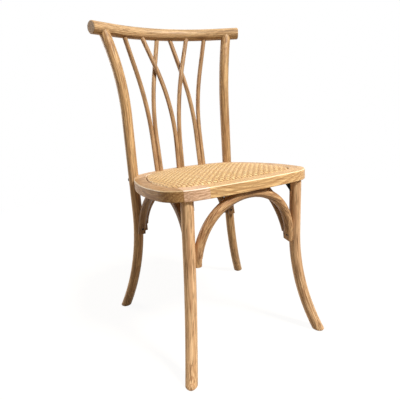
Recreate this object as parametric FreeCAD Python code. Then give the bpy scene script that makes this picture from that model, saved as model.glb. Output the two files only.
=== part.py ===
"""A bentwood dining chair with a willow back and a woven rattan seat.

Millimetres. Z is up, the floor is z = 0, the chair faces -Y, and X = 0 is its middle plane.
Each separate piece of wood, rattan or steel is one solid, and like fasteners share a file.
"""
import FreeCAD, Part
import math
import os

os.makedirs("parts", exist_ok=True)

V = FreeCAD.Vector
ORIGIN = V(0, 0, 0)
ACROSS = V(1, 0, 0)
BACKWARD = V(0, 1, 0)
UP = V(0, 0, 1)

# Seat rim: the height of its top at the front edge, its fall to the back, and its outline
seat_height = 460.0
seat_fall_degrees = 1.1
rim_thickness = 26.0
rim_half_width = 215.0
rim_widest_y = -70.0
rim_front_y = -226.0
rim_back_y = 204.0
rim_front_radius = 1100.0
rim_side_radius = 470.0
rim_back_radius = 279.0
rim_front_corner_radius = 76.0
rim_back_corner_radius = 30.0
rim_front_width = 41.0
rim_side_width = 33.5
rim_back_width = 40.0
opening_front_corner_radius = 55.0
opening_back_corner_radius = 45.0
rim_top_round = 3.0
rim_bottom_round = 2.0
opening_bevel = 1.2

# Seams between the rim's five boards, and the dowels across them
corner_seam_x = 168.0
corner_seam_y = -209.0
corner_seam_bearing_degrees = 6.8
front_seam_x = -110.0
rear_seam_x = 166.0
rear_seam_y = 85.3
rear_seam_bearing_degrees = 66.0
rear_seam_inner_x = 102.0
rear_seam_gap = 2.2
dowel_diameter = 8.0
dowel_length = 24.0
dowel_clearance = 0.1
corner_dowel_length = 16.0
corner_dowel_y = -171.0
dowel_spacing = 17.0

# Drop-in seat: a plywood board on the rim's ledge, and the woven rattan over it
ledge_width = 22.0
side_ledge_width = 52.0
ledge_corner_radius = 25.0
ledge_depth = 13.0
board_thickness = 8.0
board_clearance = 0.8
rattan_clearance = 1.0
rattan_edge_drop = 2.0
rattan_crown = 13.0
crown_scale_shares = (0.965, 0.88, 0.72, 0.50, 0.25)
crown_rise_shares = (0.36, 0.62, 0.83, 0.945, 0.99)
board_screw_diameter = 3.5
board_screw_length = 18.0
board_screw_head = 7.0
board_screw_head_height = 2.0
board_screw_front_x = 95.0
board_screw_back_x = 75.0

# Front legs: straight above the knee, then bent so that the foot stands outward and forward
leg_diameter = 29.6
front_leg_top_x = 155.2
front_leg_top_y = -193.2
front_knee_x = 158.5
front_knee_y = -184.6
front_knee_height = 290.0
front_foot_x = 201.5
front_foot_y = -229.2
foot_chamfer = 3.5
tenon_diameter = 20.0
tenon_length = 18.0
tenon_clearance = 0.15
socket_end_clearance = 0.5

# Rear posts: one rod each from the floor to the top rail, bent outward at both ends
post_diameter = 30.6
rear_foot_x = 232.0
rear_foot_y = 227.6
rear_knee_x = 169.0
rear_knee_y = 165.5
rear_knee_height = 340.0
shoulder_x = 167.5
shoulder_y = 155.5
shoulder_height = 628.0
post_top_x = 201.0
post_tenon_diameter = 14.0
post_tenon_reach = 4.0
cope_clearance = 0.15

# Top rail: a rod bent in its middle and straight towards its ends, which tip down a little
rail_diameter = 34.5
rail_half_length = 235.5
rail_middle_y = 227.0
rail_middle_height = 871.0
rail_bend_radius = 390.0
rail_end_turn_degrees = 25.6
rail_tip_degrees = 3.3
rail_end_chamfer = 2.0

# Spindles: three pairs of thin rods, side by side at the seat and spread at the top rail
spindle_diameter = 14.0
pair_spacing = 13.6
side_pair_x = 77.6
side_pair_y = 177.5
side_pair_lean_degrees = 6.0
middle_pair_y = 181.5
middle_pair_lean_degrees = 0.3
spindle_bend_height = 657.0
side_spindle_radius = 800.0
middle_spindle_radius = 700.0
outer_top_x = 136.0
inner_top_x = 18.5
middle_top_x = 78.5
spindle_crossing_offset = 2.5
spindle_foot_depth = 15.0
spindle_rail_depth = 12.0
spindle_clearance = 0.12

# Bentwood arches: crowns flat under the rim, feet coped to the legs and thinned to a tongue
arch_diameter = 23.6
arch_foot_height = 271.0
side_arch_rear_foot_height = 266.5
arch_crown_share = 0.35
arch_leg_overlap = 5.5
arch_cope_clearance = 0.2
arch_crown_flat = 4.5
front_arch_bearing_degrees = 176.0
side_arch_fore_bearing_degrees = 116.0
side_arch_aft_bearing_degrees = 259.0
back_arch_bearing_degrees = 180.0
side_arch_crown_x = 139.0
back_arch_crown_y = 174.4
arch_tongue_length = 20.0
arch_tongue_cut = 5.0
arch_screw_rise = 16.0
arch_screw_diameter = 4.0
arch_screw_length = 22.0
arch_screw_head = 8.0
arch_screw_head_height = 2.4
crown_screw_length = 28.0
crown_screw_spacing = 30.0
crown_screw_sink = 0.8
screw_clearance = 0.1

# Bolts that hold the rear posts to the rim, and their barrel nuts
bolt_diameter = 6.0
bolt_head_diameter = 13.0
bolt_head_height = 3.5
bolt_head_bevel_share = 0.6
bolt_seat_depth = 1.4
bolt_seat_margin = 1.0
bolt_reach = 34.0
bolt_bearing_degrees = 38.0
barrel_nut_diameter = 10.0
barrel_nut_length = 14.0
barrel_nut_distance = 28.0
bolt_clearance = 0.15

# Steel corner brackets of the front legs, each let into a shallow flat on its leg
bracket_thickness = 2.0
bracket_width = 19.0
bracket_foot = 17.0
bracket_drop = 27.0
bracket_inset = 1.2
bracket_clearance = 0.1
bracket_bearing_degrees = 135.0
bracket_screw_diameter = 3.5
bracket_screw_length = 12.0
bracket_screw_head = 6.6
bracket_screw_head_height = 2.0
bracket_screw_head_bevel_share = 0.5
bracket_screw_spacing = 10.4
bracket_foot_screw_distance = 8.0
bracket_drop_screw_distance = 19.0

# How far a cut runs past the wood, how far a half space reaches, and how near counts as level
overrun = 5.0
reach = 2 * seat_height
level_tolerance = 0.005
volume_tolerance_share = 0.002
upright_share = 0.9


def unit(vector):
    """The vector, made one long."""
    return vector * (1 / vector.Length)


def bearing(degrees):
    """The level direction this far from +X towards +Y."""
    return V(math.cos(math.radians(degrees)), math.sin(math.radians(degrees)), 0)


def mirrored(shape):
    """The same piece on the chair's other side."""
    return shape.mirror(ORIGIN, ACROSS)


def half_space(point, direction):
    """Everything past a plane, as far as the chair reaches."""
    return Part.makeCylinder(reach, reach, point, direction)


def bar(start, end, diameter):
    """A straight round bar from one point to another."""
    return Part.makeCylinder(diameter / 2, (end - start).Length, start, end - start)


def line(start, end):
    """A straight edge."""
    return Part.LineSegment(start, end).toShape()


def export(node, shapes):
    """Write one node, a single solid or a group of like solids."""
    solids = [solid for shape in shapes for solid in shape.Solids]
    whole = solids[0] if len(solids) == 1 else Part.Compound(solids)
    whole.exportStep("parts/" + node + ".step")
    volume = sum(solid.Volume for solid in solids)
    print(node, "solids", len(solids), "volume", round(volume), "valid", whole.isValid())


# Bent rods

def tangent_arc(start, heading, end):
    """The arc that leaves start along heading and arrives at end, and its last heading."""
    chord = end - start
    along = chord.dot(heading)
    aside = chord - heading * along
    across = unit(aside)
    turn = 2 * math.atan2(aside.Length, along)
    radius = chord.dot(chord) / (2 * aside.Length)
    half = turn / 2
    middle = start + heading * (radius * math.sin(half)) + across * (radius * (1 - math.cos(half)))
    last = heading * math.cos(turn) + across * math.sin(turn)
    return Part.Arc(start, middle, end).toShape(), last


def bent_path(start, corner, end, radius):
    """Two straight runs joined by a tangent arc of this radius."""
    first = unit(corner - start)
    second = unit(end - corner)
    half = math.acos(first.dot(second)) / 2
    setback = radius * math.tan(half)
    leave = corner - first * setback
    arrive = corner + second * setback
    middle = corner + unit(second - first) * (radius / math.cos(half) - radius)
    return [line(start, leave), Part.Arc(leave, middle, arrive).toShape(), line(arrive, end)]


def run(edge, diameter):
    """The stretch of a rod along one edge: a cylinder on a line, or a part of a torus on an arc."""
    start = edge.valueAt(edge.FirstParameter)
    end = edge.valueAt(edge.LastParameter)
    if isinstance(edge.Curve, Part.Line):
        return bar(start, end, diameter)
    section = Part.makeCircle(diameter / 2, start, edge.tangentAt(edge.FirstParameter))
    turn = math.degrees(edge.LastParameter - edge.FirstParameter)
    return Part.Face(Part.Wire(section)).revolve(edge.Curve.Center, edge.Curve.Axis, turn)


def rod(edges, diameter):
    """A round rod along a path of lines and tangent arcs, with a note if its volume is off."""
    runs = [run(edge, diameter) for edge in edges]
    solid = runs[0].multiFuse(runs[1:]).removeSplitter().Solids[0]
    expected = math.pi * (diameter / 2) ** 2 * sum(edge.Length for edge in edges)
    if abs(solid.Volume / expected - 1) > volume_tolerance_share:
        print("rod volume over section times length", solid.Volume / expected)
    return solid


# Screws and bolts

def countersunk(point, direction, diameter, length, head, head_height, clearance=0.0):
    """A countersunk screw from the face at point, or with a clearance the hole for it."""
    shank = Part.makeCylinder(diameter / 2 + clearance, length + clearance, point, direction)
    cone = Part.makeCone(head / 2 + clearance, diameter / 2 + clearance, head_height, point, direction)
    if clearance:
        mouth = Part.makeCylinder(head / 2 + clearance, overrun, point, -direction)
        return cone.fuse(shank).fuse(mouth).removeSplitter()
    return cone.fuse(shank).removeSplitter()


def headed(point, direction, diameter, length, head, head_height, bevel_share, clearance=0.0):
    """A screw or bolt whose bevelled head stands on the face at point, or the hole for its shank."""
    shank = Part.makeCylinder(diameter / 2 + clearance, length + clearance, point, direction)
    if clearance:
        return shank
    top = Part.makeCylinder(head / 2, head_height, point, -direction)
    closed = [edge for edge in top.Edges if edge.Closed]
    outer = max(closed, key=lambda edge: (edge.CenterOfMass - point).Length)
    top = top.makeChamfer(head_height * bevel_share, [outer])
    return top.fuse(shank).removeSplitter()


# Seat frame

def seat_turn():
    """The turn that lets the seat fall towards the back."""
    return FreeCAD.Rotation(ACROSS, -seat_fall_degrees)


def seat_point(x, y, depth):
    """A place in the seat, this far under the plane of the rim's top."""
    pivot = V(0, rim_front_y, seat_height)
    return pivot + seat_turn().multVec(V(x, y - rim_front_y, -depth))


def seat_up():
    """The direction square to the seat, upwards."""
    return seat_turn().multVec(UP)


def seat_placed(shape):
    """A piece drawn level with the rim's top at zero, set at the seat's height and fall."""
    placed = shape.copy()
    placed.translate(V(0, 0, seat_height))
    placed.rotate(V(0, rim_front_y, seat_height), ACROSS, -seat_fall_degrees)
    return placed


def rim_underside():
    """The half space above the rim's underside."""
    return half_space(seat_point(0, 0, rim_thickness), seat_up())


def plate(inset_front, inset_side, inset_back, front_corner, back_corner, top, bottom):
    """A plate bounded by a front arc, two side arcs and a back arc, with round corners."""
    height = top - bottom
    side_x = rim_half_width - rim_side_radius
    discs = [(0, rim_front_y + rim_front_radius, rim_front_radius - inset_front),
             (side_x, rim_widest_y, rim_side_radius - inset_side),
             (-side_x, rim_widest_y, rim_side_radius - inset_side),
             (0, rim_back_y - rim_back_radius, rim_back_radius - inset_back)]
    shape = None
    for x, y, radius in discs:
        disc = Part.makeCylinder(radius, height, V(x, y, bottom), UP)
        shape = disc if shape is None else shape.common(disc)
    upright = [e for e in shape.Edges if abs(e.tangentAt(e.FirstParameter).z) > upright_share]
    front = [e for e in upright if e.CenterOfMass.y < rim_widest_y - overrun]
    back = [e for e in upright if e.CenterOfMass.y > rim_widest_y + overrun]
    shape = shape.makeFillet(front_corner, front)
    upright = [e for e in shape.Edges if abs(e.tangentAt(e.FirstParameter).z) > upright_share]
    rearmost = max(e.CenterOfMass.y for e in back)
    back = [e for e in upright if e.CenterOfMass.y > rearmost - overrun]
    return shape.makeFillet(back_corner, back)


def level_edges(shape, height):
    """The edges that lie at one height."""
    return [e for e in shape.Edges if abs(e.BoundBox.ZMin - height) < level_tolerance
            and abs(e.BoundBox.ZMax - height) < level_tolerance]


def rim_plate(top, bottom):
    """The rim's outer outline as a plate."""
    return plate(0, 0, 0, rim_front_corner_radius, rim_back_corner_radius, top, bottom)


def opening_plate(inset, top, bottom):
    """The rim's opening as a plate, made smaller all round by the inset."""
    return plate(rim_front_width + inset, rim_side_width + inset, rim_back_width + inset,
                 opening_front_corner_radius - inset, opening_back_corner_radius - inset, top, bottom)


def seat_rim():
    """The whole rim, level: round arrises, the opening and the ledge that carries the board."""
    rim = rim_plate(0, -rim_thickness)
    rim = rim.makeFillet(rim_top_round, level_edges(rim, 0))
    rim = rim.makeFillet(rim_bottom_round, level_edges(rim, -rim_thickness))
    rim = rim.cut(opening_plate(0, overrun, -ledge_depth))
    rim = rim.cut(plate(rim_front_width + ledge_width, rim_side_width + side_ledge_width,
                        rim_back_width + ledge_width, ledge_corner_radius, ledge_corner_radius,
                        overrun, -rim_thickness - overrun))
    top = max(rim.Faces, key=lambda face: face.BoundBox.ZMin)
    inner = [edge for wire in top.Wires if not wire.isSame(top.OuterWire) for edge in wire.Edges]
    return rim.makeChamfer(opening_bevel, inner)


def corner_seam(side):
    """The upright plane between the front boards and a side board: a point and its outward normal."""
    normal = bearing(corner_seam_bearing_degrees)
    return V(side * corner_seam_x, corner_seam_y, 0), V(side * normal.x, normal.y, 0)


def rear_seam(side):
    """The upright plane between a side board and the back board: a point and its rearward normal."""
    normal = bearing(rear_seam_bearing_degrees)
    return V(side * rear_seam_x, rear_seam_y, 0), V(side * normal.x, normal.y, 0)


def side_region(side, gap):
    """The space of one side board: outside its corner seam, and a gap short of its rear seam."""
    fore = half_space(V(0, rim_widest_y, 0), -BACKWARD)
    aft = half_space(V(0, rim_widest_y, 0), BACKWARD)
    point, normal = rear_seam(side)
    aft = aft.common(half_space(V(side * rear_seam_inner_x, 0, 0), ACROSS * side))
    aft = aft.cut(half_space(point - normal * gap, normal))
    return fore.common(half_space(*corner_seam(side))).fuse(aft)


def seat_boards():
    """The rim's boards by name, without the left side board, level and before any hole is drilled."""
    rim = seat_rim()
    fore = half_space(V(0, rim_widest_y, 0), -BACKWARD)
    right_of_seam = half_space(V(front_seam_x, 0, 0), ACROSS)
    front = rim.common(fore)
    back = rim.cut(fore)
    boards = {"seat_side_board_right": rim.common(side_region(1, rear_seam_gap)).removeSplitter()}
    for side in (1, -1):
        front = front.cut(side_region(side, 0))
        back = back.cut(side_region(side, 0))
    boards["seat_back_board"] = back
    boards["seat_front_board_long"] = front.common(right_of_seam)
    boards["seat_front_board_short"] = front.cut(right_of_seam)
    return boards


def dowel_places():
    """Where each dowel crosses its seam, level: a point, a direction and the dowel's length."""
    middle_y = rim_front_y + rim_front_radius
    middle_y -= math.sqrt((rim_front_radius - rim_front_width / 2) ** 2 - front_seam_x ** 2)
    step = dowel_spacing / 2
    places = [(V(front_seam_x, middle_y + step, 0), ACROSS, dowel_length),
              (V(front_seam_x, middle_y - step, 0), ACROSS, dowel_length)]
    for side in (1, -1):
        point, normal = corner_seam(side)
        along = V(-normal.y, normal.x, 0)
        rise = (corner_dowel_y - point.y) / along.y
        places.append((point + along * rise, normal, corner_dowel_length))
        point, normal = rear_seam(side)
        along = V(-normal.y, normal.x, 0)
        middle = point - normal * (rear_seam_gap / 2)
        places.append((middle + along * step, normal, dowel_length))
        places.append((middle - along * step, normal, dowel_length))
    return places


def dowels(clearance=0.0):
    """The dowels across the seams, level, or with a clearance the holes for them."""
    depth = UP * ((ledge_depth + rim_thickness) / 2)
    shapes = []
    for point, direction, length in dowel_places():
        half = direction * (length / 2 + clearance)
        shapes.append(bar(point - depth - half, point - depth + half, dowel_diameter + 2 * clearance))
    return shapes


def board_screw_places():
    """Where the screws go up through the ledge: level places half way across it."""
    inset = ledge_width / 2
    front_radius = rim_front_radius - rim_front_width - inset
    back_radius = rim_back_radius - rim_back_width - inset
    front_y = rim_front_y + rim_front_radius - math.sqrt(front_radius ** 2 - board_screw_front_x ** 2)
    back_y = rim_back_y - rim_back_radius + math.sqrt(back_radius ** 2 - board_screw_back_x ** 2)
    places = []
    for side in (1, -1):
        places.append(V(side * board_screw_front_x, front_y, -rim_thickness))
        places.append(V(side * board_screw_back_x, back_y, -rim_thickness))
    return places


def board_screws(clearance=0.0):
    """The countersunk screws that hold the plywood board, level, or the holes for them."""
    return [countersunk(place, UP, board_screw_diameter, board_screw_length, board_screw_head,
                        board_screw_head_height, clearance) for place in board_screw_places()]


def seat_board():
    """The plywood board on the ledge, level, with its screw holes."""
    board = opening_plate(board_clearance, board_thickness - ledge_depth, -ledge_depth)
    for hole in board_screws(screw_clearance):
        board = board.cut(hole)
    return board


def rattan_seat():
    """The woven mat: an upright edge on the board and a crowned top, lofted through its outline."""
    foot = board_thickness - ledge_depth
    outline = opening_plate(rattan_clearance, overrun, 0)
    base = Part.Wire(Part.sortEdges(level_edges(outline, 0))[0])
    middle = V(0, outline.BoundBox.Center.y, 0)
    levels = [(1.0, foot), (1.0, -rattan_edge_drop)]
    for scale, rise in zip(crown_scale_shares, crown_rise_shares):
        levels.append((scale, -rattan_edge_drop + rise * (rattan_edge_drop + rattan_crown)))
    wires = []
    for scale, height in levels:
        wire = base.copy()
        wire.scale(scale, middle)
        wire.translate(V(0, 0, height))
        wires.append(wire)
    edge = Part.makeLoft(wires[:2], True, True)
    crown = Part.makeLoft(wires[1:], True, False)
    return edge.fuse(crown).removeSplitter()


# Legs and posts

def front_leg_top():
    """Where the right front leg's axis meets the rim's underside."""
    return seat_point(front_leg_top_x, front_leg_top_y, rim_thickness)


def front_knee():
    """Where the right front leg starts to bend."""
    return V(front_knee_x, front_knee_y, front_knee_height)


def front_leg_edges():
    """The right front leg's path, from inside the rim to below the floor."""
    top = front_leg_top()
    knee = front_knee()
    heading = unit(knee - top)
    foot = V(front_foot_x, front_foot_y, 0)
    arc, last = tangent_arc(knee, heading, foot)
    start = top - heading * leg_diameter
    return [line(start, knee), arc, line(foot, foot + last * leg_diameter)]


def front_leg_blank(diameter):
    """The right front leg's rod, longer than the leg at both ends."""
    return rod(front_leg_edges(), diameter)


def cut_foot(leg):
    """Cut a leg level at the floor and chamfer its sole."""
    leg = leg.cut(half_space(ORIGIN, -UP))
    return leg.makeChamfer(foot_chamfer, level_edges(leg, 0))


def front_leg():
    """The right front leg with its round tenon and the flat for its bracket."""
    top = front_leg_top()
    heading = unit(top - front_knee())
    leg = cut_foot(front_leg_blank(leg_diameter).cut(rim_underside()))
    tenon = bar(top - heading * tenon_length, top + heading * tenon_length, tenon_diameter)
    return leg.fuse(tenon).removeSplitter().cut(bracket_flat())


def front_leg_socket():
    """The hole in the rim for the right front leg's tenon."""
    top = front_leg_top()
    heading = unit(top - front_knee())
    end = top + heading * (tenon_length + socket_end_clearance)
    return bar(top - heading * tenon_length, end, tenon_diameter + 2 * tenon_clearance)


def rail_corner_y():
    """Where the top rail's two straight ends would meet, seen from above."""
    turn = math.radians(rail_end_turn_degrees)
    return rail_middle_y + rail_bend_radius * (1 / math.cos(turn) - 1)


def rail_point(x, y):
    """A place on the top rail's tipped plane."""
    tip = math.radians(rail_tip_degrees)
    forward = rail_middle_y - y
    return V(x, rail_middle_y - forward * math.cos(tip), rail_middle_height - forward * math.sin(tip))


def rail_axis(x):
    """The top rail's axis at x: an arc in the middle, then straight."""
    turn = math.radians(rail_end_turn_degrees)
    if abs(x) < rail_bend_radius * math.sin(turn):
        return rail_point(x, rail_middle_y - rail_bend_radius + math.sqrt(rail_bend_radius ** 2 - x ** 2))
    return rail_point(x, rail_corner_y() - abs(x) * math.tan(turn))


def rail_rod(diameter):
    """The top rail's rod."""
    corner = rail_point(0, rail_corner_y())
    edges = bent_path(rail_axis(-rail_half_length), corner, rail_axis(rail_half_length), rail_bend_radius)
    return rod(edges, diameter)


def top_rail():
    """The top rail with chamfered ends, and holes for the posts' tenons and the spindles."""
    rail = rail_rod(rail_diameter)
    closed = sorted((edge for edge in rail.Edges if edge.Closed), key=lambda edge: edge.CenterOfMass.x)
    rail = rail.makeChamfer(rail_end_chamfer, [closed[0], closed[-1]])
    hole = post_tenon(tenon_clearance)
    rail = rail.cut(hole).cut(mirrored(hole))
    for side in (1, -1):
        for route in spindle_routes(side).values():
            rail = rail.cut(spindle_sockets(route)[1])
    return rail


def post_edges():
    """The right rear post's path from the top rail's axis to the floor, and its heading at the top."""
    shoulder = V(shoulder_x, shoulder_y, shoulder_height)
    knee = V(rear_knee_x, rear_knee_y, rear_knee_height)
    down = unit(knee - shoulder)
    foot = V(rear_foot_x, rear_foot_y, 0)
    top_arc, top_heading = tangent_arc(shoulder, -down, rail_axis(post_top_x))
    foot_arc, last = tangent_arc(knee, down, foot)
    edges = [line(foot + last * post_diameter, foot), foot_arc, line(knee, shoulder), top_arc]
    return edges, top_heading


def post_blank(diameter):
    """The right rear post's rod before its ends are cut."""
    return rod(post_edges()[0], diameter)


def post_tenon(clearance):
    """The round tenon at the post's top, or with a clearance the hole for it."""
    heading = post_edges()[1]
    axis = rail_axis(post_top_x)
    start = axis - heading * rail_diameter
    return bar(start, axis + heading * (post_tenon_reach + clearance), post_tenon_diameter + 2 * clearance)


def rear_post():
    """The right rear post: its foot cut level, its top coped to the rail round a tenon."""
    post = cut_foot(post_blank(post_diameter))
    coped = post.cut(rail_rod(rail_diameter + 2 * cope_clearance))
    post = max(coped.Solids, key=lambda solid: solid.Volume)
    post = post.fuse(post_tenon(0)).removeSplitter()
    return post.cut(bolt_seat()).cut(post_bolt(bolt_clearance))


def bolt_line():
    """The right bolt's line: the post's axis at the rim's half thickness, and the way outward."""
    knee = V(rear_knee_x, rear_knee_y, rear_knee_height)
    shoulder = V(shoulder_x, shoulder_y, shoulder_height)
    level = seat_point(0, shoulder_y, rim_thickness / 2).z
    share = (level - rear_knee_height) / (shoulder_height - rear_knee_height)
    return knee + (shoulder - knee) * share, seat_turn().multVec(bearing(bolt_bearing_degrees))


def post_bolt(clearance=0.0):
    """The bolt through the right post into the rim, with its bevelled head, or the hole for it."""
    axis, outward = bolt_line()
    stand = post_diameter / 2 - bolt_seat_depth
    return headed(axis + outward * stand, -outward, bolt_diameter, stand + bolt_reach,
                 bolt_head_diameter, bolt_head_height, bolt_head_bevel_share, clearance)


def bolt_seat():
    """What is cut from the right post's outside to give the bolt's head a flat seat."""
    axis, outward = bolt_line()
    face = axis + outward * (post_diameter / 2 - bolt_seat_depth)
    return Part.makeCylinder(bolt_head_diameter / 2 + bolt_seat_margin, overrun, face, outward)


def barrel_nut(clearance=0.0):
    """The right post's barrel nut, pushed up into the rim from below, or the hole for it."""
    axis, outward = bolt_line()
    place = axis - outward * barrel_nut_distance
    half = seat_up() * (barrel_nut_length / 2)
    if clearance:
        return bar(place - seat_up() * rim_thickness, place + half, barrel_nut_diameter + 2 * clearance)
    return bar(place - half, place + half, barrel_nut_diameter).cut(post_bolt(bolt_clearance))


# Spindles

def spindle_route(side, place_x, place_y, lean_degrees, top):
    """Foot, corner and top of a spindle's axis, and its height in the seat, on one side."""
    at_seat = seat_point(side * place_x, place_y, 0)
    lean = math.radians(lean_degrees)
    heading = V(0, math.sin(lean), math.cos(lean))
    corner = at_seat + heading * ((spindle_bend_height - at_seat.z) / heading.z)
    into_rail = unit(top - corner)
    end = top - into_rail * (rail_diameter / 2 - spindle_rail_depth)
    return at_seat - heading * spindle_foot_depth, corner, end


def spindle_routes(side):
    """The three spindles of one side by name: foot, corner, top and bend radius."""
    half = pair_spacing / 2
    behind = BACKWARD * spindle_crossing_offset
    outer_top = rail_axis(side * outer_top_x)
    inner_top = rail_axis(side * inner_top_x) + behind
    middle_top = rail_axis(side * middle_top_x) - behind
    outer = spindle_route(side, side_pair_x + half, side_pair_y, side_pair_lean_degrees, outer_top)
    inner = spindle_route(side, side_pair_x - half, side_pair_y, side_pair_lean_degrees, inner_top)
    middle = spindle_route(side, half, middle_pair_y, middle_pair_lean_degrees, middle_top)
    return {"outer": outer + (side_spindle_radius,), "inner": inner + (side_spindle_radius,),
            "middle": middle + (middle_spindle_radius,)}


def spindles():
    """The six spindles by name, each flat where it lies against the other of its pair."""
    shapes = {}
    for side, word in ((1, "right"), (-1, "left")):
        centre = side * side_pair_x
        planes = {"outer": (centre, -side), "inner": (centre, side), "middle": (0, -side)}
        for name, (foot, corner, top, radius) in spindle_routes(side).items():
            plane_x, way = planes[name]
            whole = rod(bent_path(foot, corner, top, radius), spindle_diameter)
            flat = whole.cut(half_space(V(plane_x, 0, 0), ACROSS * way))
            shapes["spindle_" + name + "_" + word] = max(flat.Solids, key=lambda solid: solid.Volume)
    return shapes


def spindle_sockets(route):
    """The holes for a spindle in the back board and in the top rail."""
    foot, corner, top, radius = route
    low = unit(corner - foot)
    high = unit(top - corner)
    diameter = spindle_diameter + 2 * spindle_clearance
    seat_hole = bar(foot - low * socket_end_clearance, foot + low * rim_thickness, diameter)
    rail_hole = bar(top - high * rail_diameter, top + high * socket_end_clearance, diameter)
    return seat_hole, rail_hole


# Arches

class Arch:
    """A three-centred arch: its feet stand upright, and its crown lies over their middle."""

    def __init__(self, left_foot, right_foot, crown_goal):
        self.feet = (left_foot, right_foot)
        self.left = left_foot[0]
        self.right = right_foot[0]
        self.along = unit(self.right - self.left)
        middle = (self.left + self.right) * 0.5
        lift = crown_goal - middle
        lift = lift - self.along * lift.dot(self.along)
        self.rise = unit(lift)
        half = (self.right - self.left).Length / 2
        self.crown_radius = half + (half - lift.Length) * arch_crown_share
        drop = lift.Length - self.crown_radius
        self.crown = middle + lift
        self.crown_centre = middle + self.rise * drop
        side_square = half ** 2 + drop ** 2 - self.crown_radius ** 2
        self.side_radius = side_square / (2 * (half - self.crown_radius))
        self.side_setback = half - self.side_radius
        self.middle = middle

    def side_arc(self, foot, direction):
        """The arc from a foot to where the crown's arc takes over, as its middle and its end."""
        centre = self.middle + direction * self.side_setback
        away = self.crown_centre - centre
        if self.side_radius < self.crown_radius:
            away = -away
        join = self.crown_centre + unit(away) * self.crown_radius
        return centre + unit((foot + join) * 0.5 - centre) * self.side_radius, join

    def edges(self):
        """The arch's axis from foot to foot."""
        left_middle, left_join = self.side_arc(self.left, -self.along)
        right_middle, right_join = self.side_arc(self.right, self.along)
        return [Part.Arc(self.left, left_middle, left_join).toShape(),
                Part.Arc(left_join, self.crown, right_join).toShape(),
                Part.Arc(right_join, right_middle, self.right).toShape()]

    def tongue_cut(self, foot, outward):
        """What is cut from a foot's side away from the leg, so that a flat tongue is left."""
        face = foot - outward * (arch_diameter / 2 - arch_tongue_cut)
        tool = Part.makeCylinder(2 * arch_tongue_length, arch_diameter, face, -outward)
        return tool.cut(half_space(foot + self.rise * arch_tongue_length, self.rise))

    def end_screws(self, clearance=0.0):
        """The screws through the tongues into the legs, or the holes for them."""
        screws = []
        for foot, outward in self.feet:
            face = foot + self.rise * arch_screw_rise - outward * (arch_diameter / 2 - arch_tongue_cut)
            screws.append(countersunk(face, outward, arch_screw_diameter, arch_screw_length,
                                      arch_screw_head, arch_screw_head_height, clearance))
        return screws

    def crown_screws(self, clearance=0.0):
        """The two screws up through the crown into the rim, or the holes for them."""
        step = self.along * (crown_screw_spacing / 2)
        inner = self.crown_radius - arch_diameter / 2
        sag = inner - math.sqrt(inner ** 2 - step.Length ** 2)
        low = self.crown - seat_up() * (arch_diameter / 2 + sag - crown_screw_sink)
        return [countersunk(place, seat_up(), arch_screw_diameter, crown_screw_length,
                            arch_screw_head, arch_screw_head_height, clearance)
                for place in (low - step, low + step)]

    def solid(self, neighbours):
        """The bent rod: its crown flat, its feet coped to the neighbours, with tongues and holes."""
        shape = rod(self.edges(), arch_diameter).cut(rim_underside())
        for neighbour in neighbours:
            shape = shape.cut(neighbour)
        for foot, outward in self.feet:
            shape = shape.cut(self.tongue_cut(foot, outward))
        for hole in self.end_screws(screw_clearance) + self.crown_screws(screw_clearance):
            shape = shape.cut(hole)
        return shape


def axis_at(edges, height):
    """Where the path of a leg passes this height."""
    level = Part.Face(Part.Wire(Part.makeCircle(reach, UP * height, UP)))
    return Part.Compound(edges).section(level).Vertexes[0].Point


def arch_foot(edges, diameter, height, bearing_degrees):
    """An arch's foot beside a leg of this path and diameter, and the level way from it to the leg."""
    way = bearing(bearing_degrees)
    distance = (diameter + arch_diameter) / 2 - arch_leg_overlap
    return axis_at(edges, height) + way * distance, -way


def twin(foot):
    """The foot on the chair's other side."""
    point, way = foot
    return V(-point.x, point.y, point.z), V(-way.x, way.y, way.z)


def arches():
    """The front arch, the back arch and the right arch."""
    leg = front_leg_edges()
    post = post_edges()[0]
    depth = rim_thickness + arch_diameter / 2 - arch_crown_flat
    front = arch_foot(leg, leg_diameter, arch_foot_height, front_arch_bearing_degrees)
    back = arch_foot(post, post_diameter, arch_foot_height, back_arch_bearing_degrees)
    fore = arch_foot(leg, leg_diameter, arch_foot_height, side_arch_fore_bearing_degrees)
    aft = arch_foot(post, post_diameter, side_arch_rear_foot_height, side_arch_aft_bearing_degrees)
    front_crown = seat_point(0, rim_front_y + rim_front_width / 2, depth)
    back_crown = seat_point(0, back_arch_crown_y, depth)
    side_crown = seat_point(side_arch_crown_x, (fore[0].y + aft[0].y) / 2, depth)
    return {"arch_front": Arch(twin(front), front, front_crown),
            "arch_back": Arch(twin(back), back, back_crown),
            "arch_right": Arch(fore, aft, side_crown)}


# Corner brackets

def bracket_placed(shape):
    """A shape drawn at a bracket's bend, X away from the leg and the rim above, set on the right leg."""
    placed = shape.copy()
    placed.rotate(ORIGIN, UP, bracket_bearing_degrees)
    placed.rotate(ORIGIN, ACROSS, -seat_fall_degrees)
    outward = seat_turn().multVec(bearing(bracket_bearing_degrees))
    placed.translate(front_leg_top() + outward * (leg_diameter / 2 - bracket_inset))
    return placed


def bracket_flat():
    """What is cut from the right front leg to give its bracket a flat seat."""
    width = bracket_width + 2 * bracket_clearance
    box = Part.makeBox(overrun, width, bracket_drop + bracket_clearance,
                       V(-bracket_clearance, -width / 2, -bracket_drop - bracket_clearance))
    return bracket_placed(box)


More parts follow.
